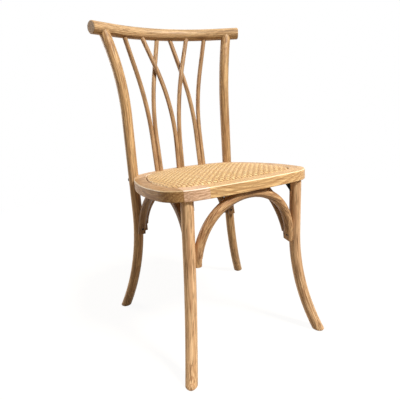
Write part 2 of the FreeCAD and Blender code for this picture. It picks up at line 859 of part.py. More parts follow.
def bracket_screws(clearance=0.0):
    """The right bracket's four screws, two up into the rim and two into the leg, or their holes."""
    screws = []
    for y in (-bracket_screw_spacing / 2, bracket_screw_spacing / 2):
        under = V(bracket_foot_screw_distance, y, -bracket_thickness)
        beside = V(bracket_thickness, y, -bracket_drop_screw_distance)
        for place, direction in ((under, UP), (beside, -ACROSS)):
            screws.append(headed(place, direction, bracket_screw_diameter, bracket_screw_length,
                                bracket_screw_head, bracket_screw_head_height,
                                bracket_screw_head_bevel_share, clearance))
    return [bracket_placed(screw) for screw in screws]


def corner_bracket():
    """The right front leg's angle bracket with its three-cornered gusset and its screw holes."""
    width = bracket_width / 2
    foot = Part.makeBox(bracket_foot, bracket_width, bracket_thickness, V(0, -width, -bracket_thickness))
    drop = Part.makeBox(bracket_thickness, bracket_width, bracket_drop, V(0, -width, -bracket_drop))
    corners = [ORIGIN, V(bracket_foot, 0, 0), V(bracket_foot, 0, -bracket_thickness),
               V(bracket_thickness, 0, -bracket_drop), V(0, 0, -bracket_drop), ORIGIN]
    gusset = Part.Face(Part.makePolygon(corners)).extrude(BACKWARD * bracket_thickness)
    gusset.translate(BACKWARD * (-bracket_thickness / 2))
    shape = bracket_placed(foot.fuse(drop).fuse(gusset).removeSplitter())
    for hole in bracket_screws(screw_clearance):
        shape = shape.cut(hole)
    return shape


# The whole chair

def cut_all(shape, tools):
    """The shape without any of the tools that reach it."""
    near = [tool for tool in tools if shape.BoundBox.intersect(tool.BoundBox)]
    return shape.cut(near) if near else shape


def both(shape):
    """A right-hand piece and the same piece on the left."""
    return [shape, mirrored(shape)]


def build():
    """Make every piece, drill the holes that pass from one to another, and write the nodes."""
    bows = arches()
    screw_holes = []
    end_screws = []
    crown_screws = []
    for name, bow in bows.items():
        for hole in bow.end_screws(screw_clearance) + bow.crown_screws(screw_clearance):
            screw_holes += both(hole) if name == "arch_right" else [hole]
        for screw in bow.end_screws():
            end_screws += both(screw) if name == "arch_right" else [screw]
        for screw in bow.crown_screws():
            crown_screws += both(screw) if name == "arch_right" else [screw]

    bracket_holes = [half for hole in bracket_screws(screw_clearance) for half in both(hole)]
    board_holes = [seat_placed(hole) for hole in board_screws(screw_clearance) + dowels(dowel_clearance)]
    board_holes += both(front_leg_socket()) + both(post_blank(post_diameter + 2 * cope_clearance))
    board_holes += both(post_bolt(bolt_clearance)) + both(barrel_nut(bolt_clearance))
    for side in (1, -1):
        board_holes += [spindle_sockets(route)[0] for route in spindle_routes(side).values()]
    for name, board in seat_boards().items():
        drilled = cut_all(seat_placed(board), board_holes + screw_holes + bracket_holes)
        export(name, [drilled])
        if name == "seat_side_board_right":
            export("seat_side_board_left", [mirrored(drilled)])

    export("seam_dowels", [seat_placed(dowel) for dowel in dowels()])
    export("seat_board", [seat_placed(seat_board())])
    export("seat_board_screws", [seat_placed(screw) for screw in board_screws()])
    export("rattan_seat", [seat_placed(rattan_seat())])

    leg = cut_all(front_leg(), screw_holes + bracket_holes)
    post = cut_all(rear_post(), screw_holes)
    for name, shape in (("front_leg", leg), ("rear_post", post), ("corner_bracket", corner_bracket())):
        export(name + "_right", [shape])
        export(name + "_left", [mirrored(shape)])
    export("bracket_screws", [half for screw in bracket_screws() for half in both(screw)])
    export("post_bolts", both(post_bolt()))
    export("post_barrel_nuts", both(barrel_nut()))

    cope = 2 * arch_cope_clearance
    fore_rods = both(front_leg_blank(leg_diameter + cope))
    aft_rods = both(post_blank(post_diameter + cope))
    export("arch_front", [bows["arch_front"].solid(fore_rods)])
    export("arch_back", [bows["arch_back"].solid(aft_rods)])
    front_rod = rod(bows["arch_front"].edges(), arch_diameter + cope)
    side_arch = bows["arch_right"].solid([fore_rods[0], aft_rods[0], front_rod])
    export("arch_right", [side_arch])
    export("arch_left", [mirrored(side_arch)])
    export("arch_end_screws", end_screws)
    export("arch_crown_screws", crown_screws)

    export("top_rail", [top_rail()])
    for name, shape in spindles().items():
        export(name, [shape])


build()
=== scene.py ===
"""Dressing for a bentwood dining chair with a willow back: oiled oak, woven rattan and steel.

Metres. Z is up, the floor is z = 0 and the chair faces -Y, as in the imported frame.
"""
import bpy
import math
from functools import partial
import numpy as np
from mathutils import Matrix, Vector


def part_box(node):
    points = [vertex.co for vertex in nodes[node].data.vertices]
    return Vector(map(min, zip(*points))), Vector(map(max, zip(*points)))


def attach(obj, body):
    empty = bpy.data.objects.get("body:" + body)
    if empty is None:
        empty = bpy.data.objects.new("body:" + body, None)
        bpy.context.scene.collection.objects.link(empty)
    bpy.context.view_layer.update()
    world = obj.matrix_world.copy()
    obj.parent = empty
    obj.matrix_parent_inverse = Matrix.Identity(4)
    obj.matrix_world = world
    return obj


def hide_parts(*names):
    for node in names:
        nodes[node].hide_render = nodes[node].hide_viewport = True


bl_info = {
    "name": "Willow Chair Dressing",
    "version": (1, 0, 0),
    "blender": (4, 5, 0),
    "location": "3D View > Sidebar > Chair",
    "description": "Oak grain, woven rattan and steel for a bentwood dining chair",
    "category": "Object",
}

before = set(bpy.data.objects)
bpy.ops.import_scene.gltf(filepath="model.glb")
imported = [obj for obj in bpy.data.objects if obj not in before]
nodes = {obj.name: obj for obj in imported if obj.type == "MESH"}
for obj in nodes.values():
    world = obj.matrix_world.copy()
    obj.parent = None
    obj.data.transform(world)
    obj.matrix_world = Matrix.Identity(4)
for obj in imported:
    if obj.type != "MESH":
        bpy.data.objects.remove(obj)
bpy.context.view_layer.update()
BODY = "root"

BLACK_NODES = ("corner_bracket_right", "corner_bracket_left", "bracket_screws",
               "arch_end_screws", "arch_crown_screws")
BOLT_NODES = ("post_bolts", "post_barrel_nuts", "seat_board_screws")

# The looks of the wooden pieces. Each piece's oak is multiplied by a colour: a board's own tint,
# and painted light and shade on the legs, posts, arches and rail. For a board of the rim, the turn
# of its grain from +X in degrees comes first.
BOARDS = {
    "seat_front_board_long": (0.0, dict(pith=(0.09, -0.40), seed=1.3, tone=0.1,
                                        tint_and_shade=(0.95, 0.92, 0.81), rings=0.9)),
    "seat_front_board_short": (0.0, dict(pith=(0.26, -0.418), seed=2.1, tone=0.6,
                                         tint_and_shade=(1.00, 1.03, 1.20), rings=1.0)),
    "seat_side_board_right": (84.0, dict(pith=(0.21, -0.436), seed=3.7, tone=0.3,
                                         tint_and_shade=(0.92, 0.90, 0.82), rings=2.2)),
    "seat_side_board_left": (96.0, dict(pith=(-0.175, -0.430), seed=4.9, tone=0.5,
                                        tint_and_shade=(0.61, 0.53, 0.385), rings=2.2)),
    "seat_back_board": (0.0, dict(pith=(-0.15, -0.41), seed=6.2, tone=0.6,
                                  tint_and_shade=(0.96, 0.95, 0.93), rings=1.2)),
}
BOARD_STREAKS = 0.45
DOWEL_LOOK = dict(pith=(0.0, 0.02), seed=7.7, tone=0.8, streaks=0.1)
PLYWOOD_LOOK = dict(pith=(0.3, -0.30), seed=8.3, tone=0.2, streaks=0.2, rings=3.0)
# Painted light and shade on the legs and posts: the front left leg is lightened, the front right
# leg a little darkened and the rear posts much darkened.
LEG_PAINTED_LIGHT_AND_SHADE = {
    "front_leg_right": (0.97, 0.95, 0.97),
    "front_leg_left": (1.09, 1.08, 1.09),
    "rear_post_right": (0.74, 0.71, 0.63),
    "rear_post_left": (0.85, 0.82, 0.75),
}
# Painted shade on the arches: the back and side arches are much darker, the front arch less.
FRONT_ARCH_PAINTED_SHADE = (0.78, 0.72, 0.66)
ARCH_PAINTED_SHADE = (0.46, 0.405, 0.33)
ARCH_PAINTED_SHADES = {"arch_front": FRONT_ARCH_PAINTED_SHADE, "arch_back": ARCH_PAINTED_SHADE,
              "arch_right": ARCH_PAINTED_SHADE, "arch_left": ARCH_PAINTED_SHADE}
# Painted shade on the top rail. The spindles are darkened more.
RAIL_PAINTED_SHADE = (0.82, 0.83, 0.81)
SPINDLE_DARKENING = (0.68, 0.66, 0.64)
BACK_DARKENING = {"top_rail": RAIL_PAINTED_SHADE,
              **{"spindle_" + which + "_" + side: SPINDLE_DARKENING
                 for side in ("right", "left") for which in ("outer", "inner", "middle")}}

WHITE = (1.0, 1.0, 1.0)


# Sizes and colours that a user would change

def colour(name, description, default):
    """A colour property, linear red, green and blue."""
    return bpy.props.FloatVectorProperty(name=name, description=description, default=default,
                                         size=3, subtype="COLOR", min=0.0, max=1.0)


def length(name, description, default):
    """A length property in metres."""
    return bpy.props.FloatProperty(name=name, description=description, default=default,
                                   subtype="DISTANCE", unit="LENGTH", min=0.0)


def factor(name, description, default):
    """A share from 0 to 1."""
    return bpy.props.FloatProperty(name=name, description=description, default=default,
                                   subtype="FACTOR", min=0.0, max=1.0)


def number(name, description, default):
    """A plain number."""
    return bpy.props.FloatProperty(name=name, description=description, default=default)


class ChairWoodSettings(bpy.types.PropertyGroup):
    """Oak as it is cut, bent and oiled."""
    honey: colour("Honey", "Pale wood between the growth rings", (0.97, 0.665, 0.345))
    summer: colour("Summer wood", "Darker wood of each growth ring", (0.46, 0.235, 0.10))
    streak: colour("Streak", "Dark streaks along the grain", (0.19, 0.085, 0.030))
    pore: colour("Pore", "Open pores", (0.115, 0.06, 0.026))
    blush: colour("Blush", "Pinkish patches", (0.72, 0.42, 0.26))
    # Paler rubbed edges, and a painted highlight on edges that slope upward.
    worn_and_highlight: colour("Worn arris and painted highlight", "Paler wood on rubbed edges and a painted highlight on upward edges", (1.0, 0.86, 0.64))
    ring_spacing: length("Ring spacing", "Width of one growth ring", 0.0034)
    pore_length: length("Pore length", "Length of one open pore", 0.012)
    grain_depth: length("Grain depth", "Relief of pores and fibres", 0.00022)
    sheen: factor("Oil roughness", "Roughness of the oiled surface", 0.38)


class ChairRattanSettings(bpy.types.PropertyGroup):
    """The woven mat and the pad under it."""
    bundle_across: length("Bundle width", "Width of a bundle that runs to the back", 0.0083)
    bundle_back: length("Cross bundle width", "Width of a bundle that runs across", 0.0105)
    splints: number("Splints", "Splints side by side in one bundle", 3.0)
    relief: length("Weave relief", "Height of a bundle over its neighbours", 0.0018)
    gap: length("Joint gap", "How far the mat stays inside the plain mat's outline", 0.0018)
    crown: length("Crown", "Rise of the middle over the edge", 0.0122)
    edge_drop: length("Edge drop", "How far the edge lies below the rim", 0.0028)
    skirt_depth: length("Skirt depth", "How far the underside lies below the rim", 0.0125)
    seat_height: length("Seat height", "Height of the rim's top at its front edge", 0.460)
    front_edge: length("Front edge", "How far the rim reaches forward of the middle", 0.226)
    fall: bpy.props.FloatProperty(name="Fall", description="Fall of the seat to the back",
                                  default=math.radians(1.1), subtype="ANGLE", unit="ROTATION")
    divisions: bpy.props.IntProperty(name="Divisions",
                                     description="Cells along each side of the grid",
                                     default=300, min=40, max=600)
    straw: colour("Straw", "Splints that run to the back", (0.82, 0.54, 0.23))
    pale: colour("Pale straw", "Lightest splints", (0.91, 0.71, 0.355))
    # Darker than the straw, as painted shade on the splints that run across.
    cross: colour("Cross straw", "Splints that run across, darker as painted shade", (0.61, 0.355, 0.15))
    warm: colour("Warm straw", "Wide patches of a warmer tone", (0.86, 0.56, 0.31))
    # Dark straw for mottles and hairs. In the hollows and grooves the same colour is painted shade.
    dark_straw_and_shade: colour("Shade", "Dark straw for mottles and hairs, and painted shade in hollows and grooves",
                  (0.24, 0.115, 0.045))
    speck: colour("Speck", "Dark flecks of bark", (0.16, 0.09, 0.045))


class ChairSteelSettings(bpy.types.PropertyGroup):
    """Painted brackets and bare fasteners."""
    paint: colour("Bracket paint", "Matt black paint", (0.013, 0.012, 0.011))
    rubbed: colour("Rubbed paint", "Grey where the paint is rubbed", (0.035, 0.032, 0.028))
    bolt: colour("Bolt steel", "Dull steel of the bolts", (0.055, 0.046, 0.038))
    tarnish: colour("Tarnish", "Brown film on the steel", (0.03, 0.022, 0.015))


class ChairStageSettings(bpy.types.PropertyGroup):
    """Floor, lamps and camera."""
    floor: colour("Floor", "Pale floor", (0.32, 0.275, 0.21))
    floor_white: number("Floor white", "How bright the camera sees the unshaded floor", 1.34)
    floor_shadow: factor("Floor shadow", "How much of the floor's shading the camera sees", 0.30)
    world_colour: colour("Room colour", "Tint of the even light all round", (1.0, 0.87, 0.69))
    world_strength: number("Room light", "Strength of the even light all round", 0.125)
    key_power: number("Key power", "Power of the soft lamp at the front, in watts", 314.0)
    back_power: number("Back power", "Power of the soft lamp behind on the left, in watts", 85.0)
    lens: number("Lens", "Focal length in millimetres on a 36 mm sensor", 30.50)
    camera_place: bpy.props.FloatVectorProperty(
        name="Camera", description="Place of the camera",
        default=(-0.44928, -0.85276, 0.60425), size=3, subtype="TRANSLATION", unit="LENGTH")
    camera_angles: bpy.props.FloatVectorProperty(
        name="Camera angles", description="Yaw, pitch down and roll of the camera",
        default=(math.radians(-26.31), math.radians(13.41), math.radians(-4.57)), size=3,
        subtype="EULER", unit="ROTATION")


# Shader trees

def opaque(tint):
    """Red, green and blue with a full alpha."""
    return (*tint[:3], 1.0)


class Tree:
    """A node tree with short words for the nodes that are used here."""

    def __init__(self, owner, output):
        """Empty the tree of a material or a world and add this kind of output."""
        owner.use_nodes = True
        self.tree = owner.node_tree
        self.tree.nodes.clear()
        self.surface = self.add(output).inputs["Surface"]

    def add(self, kind, **settings):
        """A node of this kind with these settings."""
        node = self.tree.nodes.new(kind)
        for key, value in settings.items():
            setattr(node, key, value)
        return node

    def join(self, source, target):
        """Link an output to an input, or set the input to a plain value."""
        if isinstance(source, bpy.types.NodeSocket):
            self.tree.links.new(source, target)
        else:
            target.default_value = source

    def coordinate(self, key):
        """Three numbers from one output of Texture Coordinate."""
        parts = self.add("ShaderNodeSeparateXYZ")
        self.join(self.add("ShaderNodeTexCoord").outputs[key], parts.inputs[0])
        return [parts.outputs[axis] for axis in range(3)]

    def place(self):
        """Object coordinates."""
        return self.coordinate("Object")

    def facing_up(self):
        """The upward part of the surface's direction."""
        return self.coordinate("Normal")[2]

    def seen_directly(self):
        """1 for what the camera sees, straight or in gloss or glass, and 0 for other light."""
        rays = self.add("ShaderNodeLightPath")
        seen = rays.outputs["Is Camera Ray"]
        for key in ("Is Glossy Ray", "Is Transmission Ray"):
            seen = self.math("MAXIMUM", seen, rays.outputs[key])
        return seen

    def math(self, operation, first, second=0.0, third=0.0, clamp=False):
        """One sum of up to three numbers."""
        node = self.add("ShaderNodeMath", operation=operation, use_clamp=clamp)
        for source, target in zip((first, second, third), node.inputs):
            self.join(source, target)
        return node.outputs[0]

    def vector(self, x, y, z):
        """A vector from three numbers."""
        node = self.add("ShaderNodeCombineXYZ")
        for source, target in zip((x, y, z), node.inputs):
            self.join(source, target)
        return node.outputs[0]

    def scaled(self, parts, cells):
        """A place for a noise with this many cells per metre along each of three parts."""
        return self.vector(*(self.math("MULTIPLY", part, many) for part, many in zip(parts, cells)))

    def noise(self, where, detail=2.0, roughness=0.5):
        """Smooth noise from 0 to 1 at this place, with one cell per unit."""
        node = self.add("ShaderNodeTexNoise", noise_dimensions="3D")
        settings = {"Vector": where, "Scale": 1.0, "Detail": detail, "Roughness": roughness,
                    "Distortion": 0.0}
        for key, value in settings.items():
            self.join(value, node.inputs[key])
        return node.outputs["Fac"]

    def spread(self, value, low, high, to_low=0.0, to_high=1.0, shape="SMOOTHSTEP"):
        """Map low..high to to_low..to_high, held at the ends, smoothly or with shape LINEAR."""
        node = self.add("ShaderNodeMapRange", interpolation_type=shape)
        settings = {"Value": value, "From Min": low, "From Max": high,
                    "To Min": to_low, "To Max": to_high}
        for key, source in settings.items():
            self.join(source, node.inputs[key])
        return node.outputs["Result"]

    def blend(self, share, first, second, kind="MIX"):
        """Mix two colours by a share."""
        node = self.add("ShaderNodeMix", data_type="RGBA", blend_type=kind, clamp_factor=True)
        self.join(share, node.inputs[0])
        for source, target in ((first, node.inputs[6]), (second, node.inputs[7])):
            plain = not isinstance(source, bpy.types.NodeSocket)
            self.join(opaque(source) if plain else source, target)
        return node.outputs[2]

    def layers(self, base, covers):
        """A base colour under others, each laid over it by its share."""
        for share, tint in covers:
            base = self.blend(share, base, tint)
        return base

    def curve(self, share, heights):
        """A smooth curve through evenly spaced heights from 0 to 1, read at a share from 0 to 1."""
        node = self.add("ShaderNodeFloatCurve")
        points = node.mapping.curves[0].points
        places = np.linspace(0.0, 1.0, len(heights))
        points[0].location = (0.0, heights[0])
        points[1].location = (1.0, heights[-1])
        for x, y in zip(places[1:-1], heights[1:-1]):
            points.new(float(x), float(y))
        node.mapping.update()
        self.join(share, node.inputs["Value"])
        return node.outputs[0]

    def cover(self, share, under, over):
        """Give the output one shader with a share of another over it."""
        node = self.add("ShaderNodeMixShader")
        for source, target in zip((share, under.outputs[0], over.outputs[0]), node.inputs):
            self.join(source, target)
        self.join(node.outputs[0], self.surface)


class Finish(Tree):
    """A new material with one shader, for a surface of the chair."""

    def __init__(self, name):
        """Start with the shader on the output."""
        self.material = bpy.data.materials.new(name)
        super().__init__(self.material, "ShaderNodeOutputMaterial")
        self.shader = self.add("ShaderNodeBsdfPrincipled")
        self.join(self.shader.outputs["BSDF"], self.surface)

    def dress(self, inputs):
        """Join or set the shader's inputs by name."""
        for key, source in inputs.items():
            self.join(source, self.shader.inputs[key])

    def relief(self, height, depth):
        """Bump the surface by a height from 0 to 1 that stands for this depth in metres."""
        bump = self.add("ShaderNodeBump")
        self.join(1.0, bump.inputs["Strength"])
        self.join(depth, bump.inputs["Distance"])
        self.join(height, bump.inputs["Height"])
        self.dress({"Normal": bump.outputs["Normal"]})


def give(name, material):
    """Put a material in every slot of one CAD node."""
    slots = nodes[name].data.materials
    if not len(slots):
        slots.append(material)
    for index in range(len(slots)):
        slots[index] = material


def vertex_places(name):
    """The places of a CAD node's vertices, one row for each."""
    vertices = nodes[name].data.vertices
    places = np.empty(len(vertices) * 3)
    vertices.foreach_get("co", places)
    return places.reshape(-1, 3)


# Ways that the grain can run. Each gives two numbers across the fibre and one along it, in metres.

ARCH_ROD_RADIUS = 0.0118
ROD_STEPS = 14
FULL_SECTION = 0.6      # share of the widest step's width below which a step isn't used
LEAST_BEND = 1e-6       # metres that a straight rod counts as bent, since the bend divides


def straight_grain(tree, turn_degrees):
    """Grain along a level line that is turned this far from +X.

    along = x cos + y sin, across = y cos - x sin, and z.
    """
    x, y, z = tree.place()
    cos, sin = math.cos(math.radians(turn_degrees)), math.sin(math.radians(turn_degrees))
    along = tree.math("MULTIPLY_ADD", x, cos, tree.math("MULTIPLY", y, sin))
    across = tree.math("MULTIPLY_ADD", y, cos, tree.math("MULTIPLY", x, -sin))
    return across, z, along


def hoop_grain(tree, name):
    """Grain round an arch: radius and angle about its middle, so that the fibre is bent too."""
    low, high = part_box(name)
    span = 0 if name in ("arch_front", "arch_back") else 1
    half = (high[span] - low[span]) / 2 - ARCH_ROD_RADIUS
    place = tree.place()
    run = tree.math("SUBTRACT", place[span], (high[span] + low[span]) / 2)
    rise = tree.math("SUBTRACT", place[2], high[2] - ARCH_ROD_RADIUS - half)
    square = tree.math("MULTIPLY_ADD", run, run, tree.math("MULTIPLY", rise, rise))
    radius = tree.math("SQRT", square)
    along = tree.math("MULTIPLY", tree.math("ARCTAN2", rise, run), half)
    return tree.math("SUBTRACT", radius, half), place[1 - span], along


def rod_middle(name):
    """A bent rod's longest axis, its reach there, and the middle of its section at even steps.

    The middle lies between the lowest and the highest point of each step on each other axis.
    """
    points = vertex_places(name)
    main = int(np.argmax(np.ptp(points, axis=0)))
    low, high = points[:, main].min(), points[:, main].max()
    bins = ((points[:, main] - low) / (high - low) * ROD_STEPS).astype(int)
    bins = np.clip(bins, 0, ROD_STEPS - 1)
    centres = (np.arange(ROD_STEPS) + 0.5) / ROD_STEPS
    middles = {}
    for axis in range(3):
        if axis == main:
            continue
        least = np.full(ROD_STEPS, np.inf)
        most = np.full(ROD_STEPS, -np.inf)
        np.minimum.at(least, bins, points[:, axis])
        np.maximum.at(most, bins, points[:, axis])
        wide = most - least
        known = np.isfinite(least) & (wide > FULL_SECTION * wide[np.isfinite(least)].max())
        middle = (least[known] + most[known]) / 2
        middles[axis] = np.interp(np.linspace(0, 1, ROD_STEPS), centres[known], middle)
    return main, low, high, middles


def rod_grain(tree, name):
    """Grain along a bent rod: the place across it is measured from the rod's middle there."""
    main, low, high, middles = rod_middle(name)
    place = tree.place()
    share = tree.math("DIVIDE", tree.math("SUBTRACT", place[main], low), high - low, clamp=True)
    across = []
    for axis, middle in middles.items():
        base = float(middle.min())
        size = float(max(middle.max() - base, LEAST_BEND))
        bend = tree.curve(share, ((middle - base) / size).tolist())
        offset = tree.math("MULTIPLY_ADD", bend, size, base)
        across.append(tree.math("SUBTRACT", place[axis], offset))
    return across[0], across[1], place[main]


# Oak. A noise is given by its cells per metre across the fibre and along it, detail and roughness.

SLOW_WAVE = (14.0, 3.2, 1.5, 0.5)
FINE_FIBRE = (1300.0, 26.0, 3.0, 0.6)
MEDIUM_FIBRE = (420.0, 9.0, 2.0, 0.5)
DASHES = (330.0, 16.0, 3.0, 0.6)
BANDS = (170.0, 6.0, 3.0, 0.65)
PATCHES = (22.0, 4.0, 2.0, 0.5)
PORES_ACROSS = 1500.0
PORE_CELLS = 0.7  # cells in one pore's length
PORE_NOISE = (2.0, 0.5)

# A range maps its first two numbers to 0 and 1, or to its third and fourth.
SUMMER_RISE = (0.25, 0.9)
SUMMER_END = (0.93, 1.0, 1.0, 0.0)
PORE_ZONE = (0.0, 0.4, 1.0, 0.25)
PORE_RANGE = (0.56, 0.70)
DASH_RANGE = (0.51, 0.65, 0.0, 0.76)
BAND_RANGE = (0.51, 0.69, 0.0, 0.64)
PATCH_RANGE = (0.35, 0.68)
MEDIUM_RANGE = (0.42, 0.70, 0.0, 0.84)
FINE_RANGE = (0.46, 0.76, 0.0, 0.46)
ARRIS_RISE = (0.22, 0.5)
ARRIS_END = (0.90, 0.985, 1.0, 0.0)
WEAR_AND_HIGHLIGHT_RANGE = (0.3, 0.6, 0.45, 0.9)
SOIL_RANGE = (0.001, 0.011, 0.8, 0.0)  # from metres above the floor

SEED_STEP = 1.37  # metres along the fibre from one seed to the next
RING_WANDER = 5.0
SUMMER_SHARE = 0.72
PATCH_BLUSH = 0.5
EVEN_BLUSH = 0.4
PORE_SHARE = 0.62
PORE_ROUGHNESS = 0.25
FINE_ROUGHNESS = 0.14
OAK_SPECULAR = 0.26
FINE_RELIEF = 0.4
PORE_RELIEF = -0.9
SUMMER_RELIEF = 0.22


def oak(name, grain, pith, seed, tone, tint_and_shade=None, arris=False, streaks=1.0, rings=1.0,
        feet=False):
    """Oiled oak: growth rings about a pith beside the piece, fibres, pores, streaks and patches.

    ring = distance from the pith / ring spacing, bent by slow noise. The fibre is thin across
    the grain and long along it, so each noise has many cells across and few along.
    """
    wood = bpy.context.scene.chair_wood
    tree = Finish(name)
    across, deep, along = grain(tree)
    across = tree.math("ADD", across, pith[0])
    deep = tree.math("ADD", deep, pith[1])
    along = tree.math("ADD", along, seed * SEED_STEP)

    def fibre(thin, long, detail, roughness):
        """Noise with this many cells per metre across the grain and along it."""
        where = tree.scaled((across, deep, along), (thin, thin, long))
        return tree.noise(where, detail, roughness)

    square = tree.math("MULTIPLY_ADD", across, across, tree.math("MULTIPLY", deep, deep))
    phase = tree.math("DIVIDE", tree.math("SQRT", square), wood.ring_spacing * rings)
    phase = tree.math("MULTIPLY_ADD", fibre(*SLOW_WAVE), RING_WANDER, phase)
    ring = tree.math("FRACT", phase)
    late = tree.math("MULTIPLY", tree.spread(ring, *SUMMER_RISE), tree.spread(ring, *SUMMER_END))
    fine = fibre(*FINE_FIBRE)
    medium = fibre(*MEDIUM_FIBRE)
    pores = fibre(PORES_ACROSS, PORE_CELLS / wood.pore_length, *PORE_NOISE)
    pores = tree.math("MULTIPLY", tree.spread(pores, *PORE_RANGE), tree.spread(ring, *PORE_ZONE))
    dashes = tree.spread(fibre(*DASHES), *DASH_RANGE)
    bands = tree.spread(fibre(*BANDS), *BAND_RANGE)
    patch = tree.spread(fibre(*PATCHES), *PATCH_RANGE)

    covers = [
        (tree.math("MULTIPLY", late, SUMMER_SHARE), wood.summer),
        (tree.math("MULTIPLY_ADD", patch, PATCH_BLUSH * tone, EVEN_BLUSH * tone ** 2), wood.blush),
        (tree.spread(medium, *MEDIUM_RANGE), wood.summer),
        (tree.spread(fine, *FINE_RANGE), wood.streak),
        (tree.math("MULTIPLY", tree.math("MAXIMUM", dashes, bands), streaks), wood.streak),
        (tree.math("MULTIPLY", pores, PORE_SHARE), wood.pore),
    ]
    # Paler upward-sloping edges: partly worn arris, partly painted highlight.
    if arris:
        up = tree.facing_up()
        edge = tree.math("MULTIPLY", tree.spread(up, *ARRIS_RISE), tree.spread(up, *ARRIS_END))
        covers.append((tree.math("MULTIPLY", edge, tree.spread(medium, *WEAR_AND_HIGHLIGHT_RANGE)), wood.worn_and_highlight))
    if feet:
        soil = tree.spread(tree.place()[2], *SOIL_RANGE)
        covers.append((tree.math("MULTIPLY", soil, patch), wood.streak))
    base = tree.layers(wood.honey, covers)
    # Multiply by a board's tint, by painted light and shade on a leg, post, arch or rail, or by a
    # spindle's darkening.
    if tint_and_shade:
        base = tree.blend(1.0, base, tint_and_shade, "MULTIPLY")
    rough = tree.math("MULTIPLY_ADD", pores, PORE_ROUGHNESS, wood.sheen)
    rough = tree.math("MULTIPLY_ADD", fine, FINE_ROUGHNESS, rough)
    tree.dress({"Base Color": base, "Roughness": rough, "Specular IOR Level": OAK_SPECULAR})
    height = tree.math("MULTIPLY", pores, PORE_RELIEF)
    height = tree.math("MULTIPLY_ADD", fine, FINE_RELIEF, height)
    tree.relief(tree.math("MULTIPLY_ADD", late, SUMMER_RELIEF, height), wood.grain_depth)
    return tree.material


def oil_alike(tint_and_shades, grain, pith, pith_step, seed, seed_step, **look):
    """Oak for pieces of one kind: the pith and the seed move on by a step from piece to piece."""
    for index, (name, tint_and_shade) in enumerate(tint_and_shades.items()):
        place = [start + step * index for start, step in zip(pith, pith_step)]
        give(name, oak(name + "_oak", partial(grain, name=name), place,
                       seed + seed_step * index, tint_and_shade=tint_and_shade, **look))


class CHAIR_OT_oil_rim(bpy.types.Operator):
    """Give the rim's boards, dowels and plywood their grain"""
    bl_idname = "chair.oil_rim"
    bl_label = "Oil the seat rim"

    def execute(self, context):
        """Each board has its own turn and pith. Dowels and plywood have grain along Y."""
        for name, (turn, look) in BOARDS.items():
            grain = partial(straight_grain, turn_degrees=turn)
            give(name, oak(name + "_oak", grain, arris=True, streaks=BOARD_STREAKS, **look))
        to_back = partial(straight_grain, turn_degrees=90.0)
        give("seam_dowels", oak("dowel_beech", to_back, **DOWEL_LOOK))
        give("seat_board", oak("plywood_face", to_back, **PLYWOOD_LOOK))
        return {"FINISHED"}


class CHAIR_OT_oil_legs(bpy.types.Operator):
    """Give the legs and posts grain that follows their bends"""
    bl_idname = "chair.oil_legs"
    bl_label = "Oil the legs and posts"

    def execute(self, context):
        """The feet are soiled near the floor."""
        oil_alike(LEG_PAINTED_LIGHT_AND_SHADE, rod_grain, pith=(0.05, 0.06), pith_step=(-0.02, 0.013),
                  seed=11.0, seed_step=1.9, tone=0.4, feet=True)
        return {"FINISHED"}


class CHAIR_OT_oil_arches(bpy.types.Operator):
    """Give the bentwood arches grain that runs round them"""
    bl_idname = "chair.oil_arches"
    bl_label = "Oil the arches"

    def execute(self, context):
        """The arches are darkened by painted shade, and the front one less so."""
        oil_alike(ARCH_PAINTED_SHADES, hoop_grain, pith=(0.07, 0.045), pith_step=(0.0, 0.01),
                  seed=21.0, seed_step=2.3, tone=0.45, streaks=1.1)
        return {"FINISHED"}


class CHAIR_OT_oil_back(bpy.types.Operator):
    """Give the top rail and the spindles grain along their length"""
    bl_idname = "chair.oil_back"
    bl_label = "Oil the rail and spindles"

    def execute(self, context):
        """The rail's grain runs across the chair, the spindles' up."""
        oil_alike(BACK_DARKENING, rod_grain, pith=(0.045, 0.05), pith_step=(0.006, -0.004),
                  seed=31.0, seed_step=1.7, tone=0.4)
        return {"FINISHED"}


# The woven mat

EDGE_BAND = 0.0004      # metres over the lowest point that still count as the lowest edge
BEARINGS = 2000         # bearings in one radian of the outline
LEAST_REACH = 0.7       # share of the usual distance below which a point isn't on the outline
EDGE_FALL = 0.93        # share of a bundle's squared height that is lost at its edges
WEAVE_LOW = 0.35        # height of a bundle where it dives under the next
WEAVE_SWELL = 0.65      # how much higher it is halfway
WEAVE_LEVEL = 0.6       # height of the weave that lies on the pad's crown
WEAVE_FADE = 0.02       # share of the way to the middle over which the weave rises
CROWN_REACH = 3         # the higher, the farther out the crown stays flat
CROWN_BEND = 0.45       # the lower, the steeper the crown rises at the edge

# Material of the splints. A noise is given by its cells per metre, third coordinate and detail.
MOTTLE_CELLS = 160.0
WIDE_PATCHES = (9.0, 0.0)
HAIR = (2600.0, 0.3)
SPECKS = (210.0, 9.1, 1.0)
CROSS_KEY = 500.0  # keeps the numbers of the cross splints apart from the others'
TONE_RANGE = (0.2, 1.0)
MOTTLE_RANGE = (0.45, 0.75, 0.0, 0.4)
WARM_RANGE = (0.35, 0.65, 0.0, 0.25)
HAIR_RANGE = (0.5, 0.8, 0.0, 0.2)
GROOVE_RANGE = (0.34, 0.5)
# Painted shade where a bundle dives under the next.
HOLLOW_SHADE_RANGE = (0.24, 0.72, 0.97, 0.0)
SPECK_RANGE = (0.735, 0.79, 0.0, 0.85)
SPLINT_ROUGHNESS = (0.0, 0.9, 0.72, 0.42)
# Painted shade on the cross splints.
CROSS_SHADE_SHARE = 0.88
# Painted shade in the grooves between splints.
GROOVE_SHADE_SHARE = 0.45
RATTAN_SPECULAR = 0.3
GROOVE_RELIEF = -0.15
HAIR_RELIEF = 0.08
SPLINT_DEPTH = 0.001


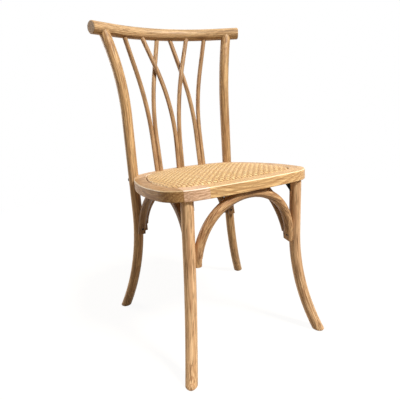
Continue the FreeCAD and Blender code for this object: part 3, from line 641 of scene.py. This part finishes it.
def opening_outline(name):
    """Middle of the plain mat, and bearings and distances of its lowest edge round it, in order."""
    rattan = bpy.context.scene.chair_rattan
    points = vertex_places(name)
    low, high = points.min(axis=0), points.max(axis=0)
    middle = (low + high)[:2] / 2
    level = points[:, 2] + (points[:, 1] + rattan.front_edge) * math.tan(rattan.fall)
    edge = points[level < level.min() + EDGE_BAND][:, :2] - middle
    turn = np.arctan2(edge[:, 1], edge[:, 0])
    far = np.hypot(edge[:, 0], edge[:, 1])
    bins = np.round(turn * BEARINGS).astype(int)
    keep = np.unique(bins, return_index=True)[1]
    outer = np.zeros(len(keep))
    np.maximum.at(outer, np.searchsorted(bins[keep], bins), far)
    solid = outer > LEAST_REACH * np.median(outer)
    return middle, turn[keep][solid], outer[solid]


def disc_grid(divisions):
    """A square grid drawn onto a disc of radius one: each square ring becomes a round one."""
    line = np.linspace(-1.0, 1.0, divisions + 1)
    a, b = np.meshgrid(line, line)
    wide = np.abs(a) >= np.abs(b)
    safe_a = np.where(a == 0, 1.0, a)
    safe_b = np.where(b == 0, 1.0, b)
    reach = np.where(wide, a, b)
    eighth = math.pi / 4
    turn = np.where(wide, eighth * b / safe_a, 2 * eighth - eighth * a / safe_b)
    return reach * np.cos(turn), reach * np.sin(turn)


def plain_weave(x, y, rattan):
    """Height from 0 to 1 of a plain weave of flat bundles.

    Cell (i, j) is one bundle wide each way. The bundle that runs to the back lies on top where
    i + j is even, else the one that runs across. side runs from -1 to 1 across the bundle and
    along from 0 to 1 in its direction:

    height = sqrt(1 - EDGE_FALL side^4) (WEAVE_LOW + WEAVE_SWELL sin(pi along))
    """
    u, v = x / rattan.bundle_across, y / rattan.bundle_back
    i, j = np.floor(u), np.floor(v)
    back_up = np.mod(i + j, 2) < 1
    side = np.where(back_up, u - i, v - j) * 2 - 1
    along = np.where(back_up, v - j, u - i)
    return np.sqrt(1 - EDGE_FALL * side ** 4) * (WEAVE_LOW + WEAVE_SWELL * np.sin(np.pi * along))


def seat_mat(name):
    """The woven pad: a grid on the plain mat's outline, crowned and raised by the weave.

    s is the share of the way from the middle to the outline:

    dome = crown (1 - s^CROWN_REACH)^CROWN_BEND
    z = rim - edge_drop + dome + (weave - WEAVE_LEVEL) relief min(1, (1 - s) / WEAVE_FADE)

    A skirt and a flat underside close it.
    """
    rattan = bpy.context.scene.chair_rattan
    middle, turns, distances = opening_outline("rattan_seat")
    x, y = disc_grid(rattan.divisions)
    s = np.hypot(x, y)
    reach = np.interp(np.arctan2(y, x), turns, distances, period=2 * math.pi) - rattan.gap
    px = middle[0] + x * reach
    py = middle[1] + y * reach
    rim = rattan.seat_height - (py + rattan.front_edge) * math.tan(rattan.fall)
    dome = rattan.crown * np.power(np.clip(1 - s ** CROWN_REACH, 0, 1), CROWN_BEND)
    fade = np.clip((1 - s) / WEAVE_FADE, 0, 1)
    weave = (plain_weave(px, py, rattan) - WEAVE_LEVEL) * rattan.relief * fade
    top = rim - rattan.edge_drop + dome + weave
    count = rattan.divisions + 1
    index = np.arange(count * count).reshape(count, count)
    ring = np.concatenate([index[0, :-1], index[:-1, -1], index[-1, :0:-1], index[:0:-1, 0]])
    points = np.column_stack([px.ravel(), py.ravel(), top.ravel()])
    bottom = points[ring].copy()
    bottom[:, 2] = rim.ravel()[ring] - rattan.skirt_depth
    total = len(points)
    points = np.vstack([points, bottom, [[middle[0], middle[1], bottom[:, 2].mean()]]])
    quads = np.column_stack([index[:-1, :-1].ravel(), index[:-1, 1:].ravel(),
                             index[1:, 1:].ravel(), index[1:, :-1].ravel()])
    under = total + np.arange(len(ring))
    after = np.roll(under, -1)
    skirt = np.column_stack([ring, under, after, np.roll(ring, -1)])
    fan = np.column_stack([under, np.full(len(ring), len(points) - 1), after])
    faces = quads.tolist() + skirt.tolist() + fan.tolist()
    mesh = bpy.data.meshes.new(name)
    mesh.from_pydata(points.tolist(), [], faces)
    mesh.polygons.foreach_set("use_smooth", np.ones(len(mesh.polygons), bool))
    mesh.update()
    piece = bpy.data.objects.new(name, mesh)
    bpy.context.scene.collection.objects.link(piece)
    return piece


def rattan_material():
    """The weave drawn again, splint by splint, so that colour and relief meet the mesh's ridges."""
    rattan = bpy.context.scene.chair_rattan
    tree = Finish("rattan_splints")
    x, y = tree.place()[:2]
    u = tree.math("DIVIDE", x, rattan.bundle_across)
    v = tree.math("DIVIDE", y, rattan.bundle_back)
    cell = tree.math("ADD", tree.math("FLOOR", u), tree.math("FLOOR", v))
    back_up = tree.math("LESS_THAN", tree.math("FLOORED_MODULO", cell, 2.0), 0.5)
    cross_up = tree.math("SUBTRACT", 1.0, back_up)

    def either(back, cross):
        """The value of the bundle on top."""
        return tree.math("ADD", tree.math("MULTIPLY", back, back_up),
                         tree.math("MULTIPLY", cross, cross_up))

    def mottle(cells, third, detail=2.0):
        """Noise with this many cells per metre over the mat."""
        where = tree.vector(tree.math("MULTIPLY", x, cells), tree.math("MULTIPLY", y, cells), third)
        return tree.noise(where, detail)

    part_u, part_v = tree.math("FRACT", u), tree.math("FRACT", v)
    side = tree.math("MULTIPLY_ADD", either(part_u, part_v), 2.0, -1.0)
    fourth = tree.math("POWER", tree.math("ABSOLUTE", side), 4.0)
    arch = tree.math("SQRT", tree.math("MULTIPLY_ADD", fourth, -EDGE_FALL, 1.0))
    swell = tree.math("SINE", tree.math("MULTIPLY", either(part_v, part_u), math.pi))
    height = tree.math("MULTIPLY_ADD", swell, WEAVE_SWELL, WEAVE_LOW)
    height = tree.math("MULTIPLY", arch, height)

    splint = either(tree.math("MULTIPLY", u, rattan.splints),
                    tree.math("MULTIPLY_ADD", v, rattan.splints, CROSS_KEY))
    off_middle = tree.math("SUBTRACT", tree.math("FRACT", splint), 0.5)
    groove = tree.spread(tree.math("ABSOLUTE", off_middle), *GROOVE_RANGE)
    key = tree.math("FLOOR", splint)
    white = tree.add("ShaderNodeTexWhiteNoise", noise_dimensions="1D")
    tree.join(key, white.inputs["W"])
    hair = mottle(*HAIR)

    base = tree.layers(rattan.straw, (
        (tree.spread(white.outputs["Value"], *TONE_RANGE), rattan.pale),
        # Painted shade: the splints that run across are darker.
        (tree.math("MULTIPLY", cross_up, CROSS_SHADE_SHARE), rattan.cross),
        (tree.spread(mottle(MOTTLE_CELLS, key), *MOTTLE_RANGE), rattan.dark_straw_and_shade),
        (tree.spread(mottle(*WIDE_PATCHES), *WARM_RANGE), rattan.warm),
        (tree.spread(hair, *HAIR_RANGE), rattan.dark_straw_and_shade),
        # Painted shade in the grooves between splints and in the hollows where a bundle dives under
        # the next.
        (tree.math("MULTIPLY", groove, GROOVE_SHADE_SHARE), rattan.dark_straw_and_shade),
        (tree.spread(height, *HOLLOW_SHADE_RANGE), rattan.dark_straw_and_shade),
        (tree.spread(mottle(*SPECKS), *SPECK_RANGE), rattan.speck),
    ))
    tree.dress({"Base Color": base, "Roughness": tree.spread(height, *SPLINT_ROUGHNESS),
                "Specular IOR Level": RATTAN_SPECULAR})
    height = tree.math("MULTIPLY_ADD", groove, GROOVE_RELIEF, height)
    tree.relief(tree.math("MULTIPLY_ADD", hair, HAIR_RELIEF, height), SPLINT_DEPTH)
    return tree.material


class CHAIR_OT_weave_seat(bpy.types.Operator):
    """Weave the rattan mat over its pad"""
    bl_idname = "chair.weave_seat"
    bl_label = "Weave the seat"

    def execute(self, context):
        """The mat stands in the place of the plain one."""
        piece = seat_mat("rattan_weave")
        piece.data.materials.append(rattan_material())
        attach(piece, BODY)
        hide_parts("rattan_seat")
        return {"FINISHED"}


# Steel. A noise is given by its cells per metre and detail.

FILM_PATCHES = (240.0, 4.0)
GRIT = (2100.0, 3.0)
FILM_RANGE = (0.42, 0.68)
GRIT_RANGE = (0.45, 0.8, 0.0, 0.3)
GRIT_ROUGHNESS = 0.22


def steel(name, main, film, rough, depth, inputs):
    """Metal with a film or rubbed places from two noises: broad patches broken by fine marks."""
    tree = Finish(name)
    place = tree.place()

    def marks(cells, detail):
        """Noise with this many cells per metre."""
        return tree.noise(tree.scaled(place, (cells, cells, cells)), detail)

    grit = marks(*GRIT)
    base = tree.layers(main, ((tree.spread(marks(*FILM_PATCHES), *FILM_RANGE), film),
                              (tree.spread(grit, *GRIT_RANGE), film)))
    rough = tree.math("MULTIPLY_ADD", grit, GRIT_ROUGHNESS, rough)
    tree.dress({"Base Color": base, "Roughness": rough, **inputs})
    tree.relief(grit, depth)
    return tree.material


class CHAIR_OT_finish_steel(bpy.types.Operator):
    """Paint the brackets and dull the bolts and screws"""
    bl_idname = "chair.finish_steel"
    bl_label = "Finish the steel"

    def execute(self, context):
        """Paint has no metal in it, and bare steel has."""
        metal = context.scene.chair_steel
        paint = steel("bracket_black", metal.paint, metal.rubbed, rough=0.58, depth=0.00008,
                      inputs={"Specular IOR Level": 0.2})
        bare = steel("dull_bolt", metal.bolt, metal.tarnish, rough=0.30, depth=0.00005,
                     inputs={"Metallic": 1.0})
        for name in BLACK_NODES:
            give(name, paint)
        for name in BOLT_NODES:
            give(name, bare)
        return {"FINISHED"}


# Stage

KEY_LAMP = dict(place=(1.25, -3.00, 3.90), aim=(0.0, 0.0, 0.45), size=0.8)
BACK_LAMP = dict(place=(-2.0, 2.8, 1.6), aim=(0.0, 0.0, 0.4), size=1.8)
FLOOR_REACH = 30.0
FLOOR_FADE = (0.5, 2.4)  # metres from the chair over which the floor turns plain white
SENSOR_WIDTH = 36.0


def soft_lamp(name, place, aim, size, power):
    """A square lamp that faces a point."""
    lamp = bpy.data.lights.new(name, "AREA")
    lamp.shape = "SQUARE"
    lamp.size = size
    lamp.energy = power
    piece = bpy.data.objects.new(name, lamp)
    bpy.context.scene.collection.objects.link(piece)
    piece.location = place
    piece.rotation_euler = (Vector(aim) - Vector(place)).to_track_quat("-Z", "Y").to_euler()


def floor_material(stage):
    """Pale floor, off whose paint light bounces.

    The camera sees mostly white with a share of the real shading, and farther out plain white.
    """
    material = bpy.data.materials.new("pale_floor")
    tree = Tree(material, "ShaderNodeOutputMaterial")
    paint = tree.add("ShaderNodeBsdfDiffuse")
    tree.join(opaque(stage.floor), paint.inputs["Color"])
    reach = tree.add("ShaderNodeVectorMath", operation="LENGTH")
    tree.join(tree.add("ShaderNodeTexCoord").outputs["Object"], reach.inputs[0])
    least = 1.0 - stage.floor_shadow
    white_share = tree.spread(reach.outputs["Value"], *FLOOR_FADE, least, 1.0)
    glow = tree.add("ShaderNodeEmission")
    tree.join(opaque(WHITE), glow.inputs["Color"])
    tree.join(tree.spread(white_share, least, 1.0, stage.floor_white, 1.0, "LINEAR"),
              glow.inputs["Strength"])
    tree.cover(tree.math("MULTIPLY", tree.seen_directly(), white_share), paint, glow)
    return material


def white_room(stage):
    """Even light all round, and white wherever the camera looks past the object."""
    world = bpy.data.worlds.new("pale_room")
    bpy.context.scene.world = world
    tree = Tree(world, "ShaderNodeOutputWorld")
    backgrounds = []
    for tint, strength in ((stage.world_colour, stage.world_strength), (WHITE, 1.0)):
        background = tree.add("ShaderNodeBackground")
        tree.join(opaque(tint), background.inputs["Color"])
        tree.join(strength, background.inputs["Strength"])
        backgrounds.append(background)
    tree.cover(tree.seen_directly(), *backgrounds)


def aim_camera(stage):
    """The camera stands where the photograph was taken: yaw about Z, then pitch down, then roll."""
    yaw, pitch, roll = stage.camera_angles
    forward = Vector((-math.sin(yaw) * math.cos(pitch), math.cos(yaw) * math.cos(pitch),
                      -math.sin(pitch)))
    level = forward.cross(Vector((0, 0, 1))).normalized()
    above = level.cross(forward)
    right = level * math.cos(roll) + above * math.sin(roll)
    up = above * math.cos(roll) - level * math.sin(roll)
    data = bpy.data.cameras.new("photo_camera")
    data.lens = stage.lens
    data.sensor_width = SENSOR_WIDTH
    camera = bpy.data.objects.new("photo_camera", data)
    bpy.context.scene.collection.objects.link(camera)
    turn = Matrix((right, up, -forward)).transposed().to_4x4()
    camera.matrix_world = Matrix.Translation(Vector(stage.camera_place)) @ turn
    bpy.context.scene.camera = camera


class CHAIR_OT_set_stage(bpy.types.Operator):
    """Set the floor, the lamps, the white room and the camera"""
    bl_idname = "chair.set_stage"
    bl_label = "Set the stage"

    def execute(self, context):
        """The floor is a wide square under the chair."""
        stage = context.scene.chair_stage
        context.scene.view_settings.view_transform = "Standard"
        corners = [(x * FLOOR_REACH, y * FLOOR_REACH, 0.0)
                   for x, y in ((-1, -1), (1, -1), (1, 1), (-1, 1))]
        mesh = bpy.data.meshes.new("floor")
        mesh.from_pydata(corners, [], [(0, 1, 2, 3)])
        floor = bpy.data.objects.new("floor", mesh)
        floor.data.materials.append(floor_material(stage))
        context.scene.collection.objects.link(floor)
        soft_lamp("key_lamp", power=stage.key_power, **KEY_LAMP)
        soft_lamp("back_lamp", power=stage.back_power, **BACK_LAMP)
        white_room(stage)
        aim_camera(stage)
        return {"FINISHED"}


STEPS = (CHAIR_OT_oil_rim, CHAIR_OT_oil_legs, CHAIR_OT_oil_arches, CHAIR_OT_oil_back,
         CHAIR_OT_weave_seat, CHAIR_OT_finish_steel, CHAIR_OT_set_stage)


class CHAIR_PT_dressing(bpy.types.Panel):
    """The steps of the dressing in their order"""
    bl_idname = "CHAIR_PT_dressing"
    bl_label = "Willow chair"
    bl_space_type = "VIEW_3D"
    bl_region_type = "UI"
    bl_category = "Chair"

    def draw(self, context):
        """One button for each step."""
        for step in STEPS:
            self.layout.operator(step.bl_idname)


SETTINGS = {"chair_wood": ChairWoodSettings, "chair_rattan": ChairRattanSettings,
            "chair_steel": ChairSteelSettings, "chair_stage": ChairStageSettings}


def register():
    """Add the settings, the steps and the panel."""
    for name, group in SETTINGS.items():
        bpy.utils.register_class(group)
        setattr(bpy.types.Scene, name, bpy.props.PointerProperty(type=group))
    for step in (*STEPS, CHAIR_PT_dressing):
        bpy.utils.register_class(step)


def unregister():
    """Take them away again."""
    for step in reversed((*STEPS, CHAIR_PT_dressing)):
        bpy.utils.unregister_class(step)
    for name, group in SETTINGS.items():
        delattr(bpy.types.Scene, name)
        bpy.utils.unregister_class(group)


def main():
    """Run every step."""
    register()
    bpy.ops.chair.oil_rim()
    bpy.ops.chair.oil_legs()
    bpy.ops.chair.oil_arches()
    bpy.ops.chair.oil_back()
    bpy.ops.chair.weave_seat()
    bpy.ops.chair.finish_steel()
    bpy.ops.chair.set_stage()
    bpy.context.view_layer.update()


if __name__ == "__main__":
    main()
